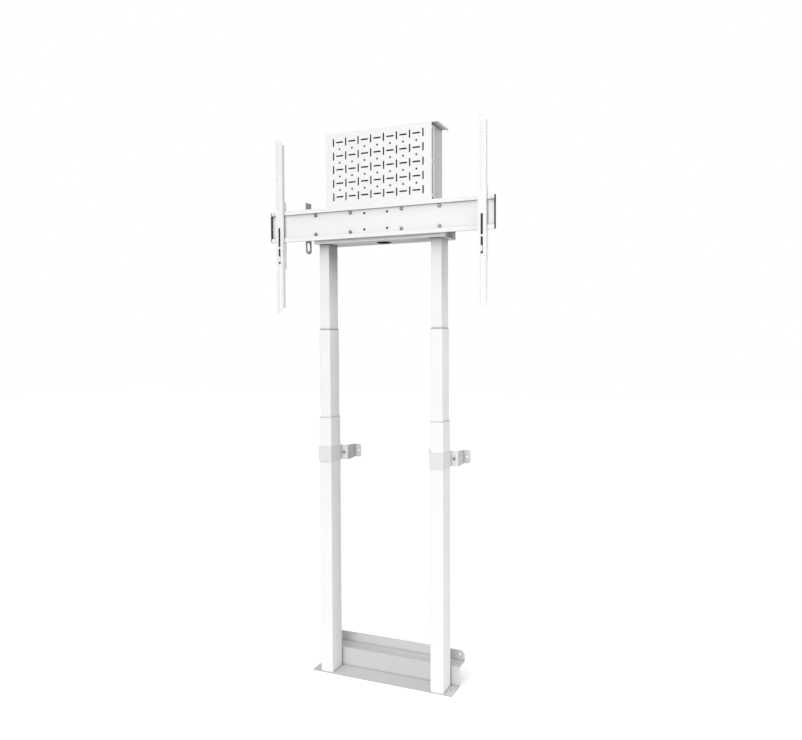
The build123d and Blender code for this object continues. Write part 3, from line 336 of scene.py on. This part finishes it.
def powder_coat(
    name, colour, roughness, reach=crevice_shade_reach, darkness=crevice_shade_darkness, overhang_shade=None, dark_inside=None
):
    """Baked powder paint: fine orange peel, a slow change of tone and of shine, and painted shade in corners
    and gaps.

    Within the reach of overhang, where given, painted shadow from pieces above darkens the paint further.
    Between the corners of the dark inside, where given, the colour is cut to a small share and draws the
    inside near black.
    """
    material, tree, shader = start_material(name)
    shade = tint(tree, noise(tree, 7.0, 3.0), scaled(colour, 0.985), scaled(colour, 1.01))
    # Painted shade in corners and gaps
    shade = painted_crevice_shade(tree, shade, reach, darkness)
    if overhang_shade:
        # Painted shadow under the beam and other pieces above, by ambient occlusion of long reach
        shade = painted_crevice_shade(tree, shade, overhang_shade, overhang_shade_darkness, closed=0.72, clear=0.99, samples=16)
    # Inside the given corners the colour is drawn near black
    if dark_inside:
        inside_dark_mix = tree.nodes.new("ShaderNodeMix")
        inside_dark_mix.data_type = "RGBA"
        inside_dark_mix.inputs[7].default_value = (*scaled(colour, dark_inside_share), 1.0)
        tree.links.new(inside(tree, *dark_inside), inside_dark_mix.inputs[0])
        tree.links.new(shade, inside_dark_mix.inputs[6])
        shade = inside_dark_mix.outputs[2]
    tree.links.new(shade, shader.inputs["Base Color"])
    shine = noise(tree, 55.0, 3.0)
    tree.links.new(spread(tree, shine, roughness - 0.05, roughness + 0.06), shader.inputs["Roughness"])
    peel = bump(tree, noise(tree, 420.0, 2.0), 0.00006)
    grain = bump(tree, noise(tree, 1600.0, 1.0), 0.00002, peel)
    tree.links.new(grain, shader.inputs["Normal"])
    shader.inputs["Specular IOR Level"].default_value = 0.5
    return material


def moulded_plastic(name, colour, roughness):
    """Moulded plastic with a fine spark-eroded grain."""
    material, tree, shader = start_material(name)
    shade = noise(tree, 20.0, 3.0)
    tree.links.new(tint(tree, shade, scaled(colour, 0.9), scaled(colour, 1.15)), shader.inputs["Base Color"])
    shine = noise(tree, 240.0, 2.0)
    tree.links.new(spread(tree, shine, roughness - 0.08, roughness + 0.08), shader.inputs["Roughness"])
    grain = bump(tree, noise(tree, 1400.0, 3.0), 0.00006)
    tree.links.new(grain, shader.inputs["Normal"])
    return material


def plated_steel(name, colour, roughness):
    """Zinc plated steel: a cloudy sheen with fine drawn lines."""
    material, tree, shader = start_material(name)
    shader.inputs["Metallic"].default_value = 1.0
    cloud = noise(tree, 130.0, 4.0)
    tree.links.new(tint(tree, cloud, scaled(colour, 0.86), scaled(colour, 1.08)), shader.inputs["Base Color"])
    lines = noise(tree, 300.0, 3.0, stretch=(1.0, 1.0, 9.0))
    tree.links.new(spread(tree, lines, roughness - 0.08, roughness + 0.10), shader.inputs["Roughness"])
    tree.links.new(bump(tree, lines, 0.00002), shader.inputs["Normal"])
    return material


def make_finishes():
    """One material for each of the record's slots, and some kept for one kind of piece each."""
    # The box is flanged on its right alone, so its right wall is taken from its left one
    box_low, box_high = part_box("media_box")
    box_inside = (
        (box_low[0] + half_sheet, box_low[1] - half_sheet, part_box("media_panel")[0][2] + half_sheet),
        (-box_low[0] - half_sheet, box_high[1] - half_sheet, box_high[2] - half_sheet),
    )
    white = (0.90, 0.90, 0.89)
    light_grey = (0.62, 0.62, 0.615)
    return {
        "white_coat": powder_coat("white_coat", white, satin),
        # Upper tubes: the white, with painted shade in gaps and painted shadow under the beam
        "tube_painted_shade_coat": powder_coat(
            "tube_painted_shade_coat", white, satin, reach=sheltered_shade_reach, overhang_shade=overhang_shade_reach
        ),
        "soft_white_coat": powder_coat("soft_white_coat", (0.77, 0.77, 0.76), satin),
        "light_grey_coat": powder_coat("light_grey_coat", light_grey, soft_satin),
        "base_grey_coat": powder_coat("base_grey_coat", (0.60, 0.60, 0.595), soft_satin),
        # Box: stronger painted shade in corners and gaps, and its inside drawn near black
        "box_coat": powder_coat(
            "box_coat", light_grey, soft_satin, darkness=box_crevice_shade_darkness, dark_inside=box_inside
        ),
        "pale_grey_coat": powder_coat("pale_grey_coat", (0.52, 0.52, 0.515), soft_satin),
        "white_screw": powder_coat("white_screw", (0.70, 0.70, 0.69), 0.35),
        "white_plastic": moulded_plastic("white_plastic", (0.52, 0.52, 0.515), 0.5),
        "grey_plastic": moulded_plastic("grey_plastic", (0.35, 0.35, 0.36), 0.5),
        "black_plastic": moulded_plastic("black_plastic", (0.015, 0.015, 0.015), 0.6),
        "zinc_steel": plated_steel("zinc_steel", (0.30, 0.30, 0.31), 0.30),
        "motor_steel": powder_coat("motor_steel", (0.20, 0.20, 0.21), 0.4),
        "contact_brass": plated_steel("contact_brass", (0.80, 0.66, 0.36), 0.3),
    }


def dress_nodes(finishes):
    """Gives every node of the model the finish of its slot, or the one kept for its kind."""
    # The upper tubes take extra painted shadow under the beam; the box takes stronger painted shade and a
    # near-black inside
    kept_finishes = {
        "upper_tube": "tube_painted_shade_coat",
        "media_box": "box_coat",
    }
    for entry in frame["record"]["subparts"]:
        node = frame["nodes"][entry["node"]]
        material = finishes[entry["material_slot"]]
        for kind, finish in kept_finishes.items():
            if entry["node"].startswith(kind):
                material = finishes[finish]
        if not node.material_slots:
            node.data.materials.append(material)
        for material_slot in node.material_slots:
            material_slot.material = material


make_camera()
make_world()
make_floor()
for sun_settings in suns:
    make_sun(*sun_settings)
make_side_lamp()
dress_nodes(make_finishes())
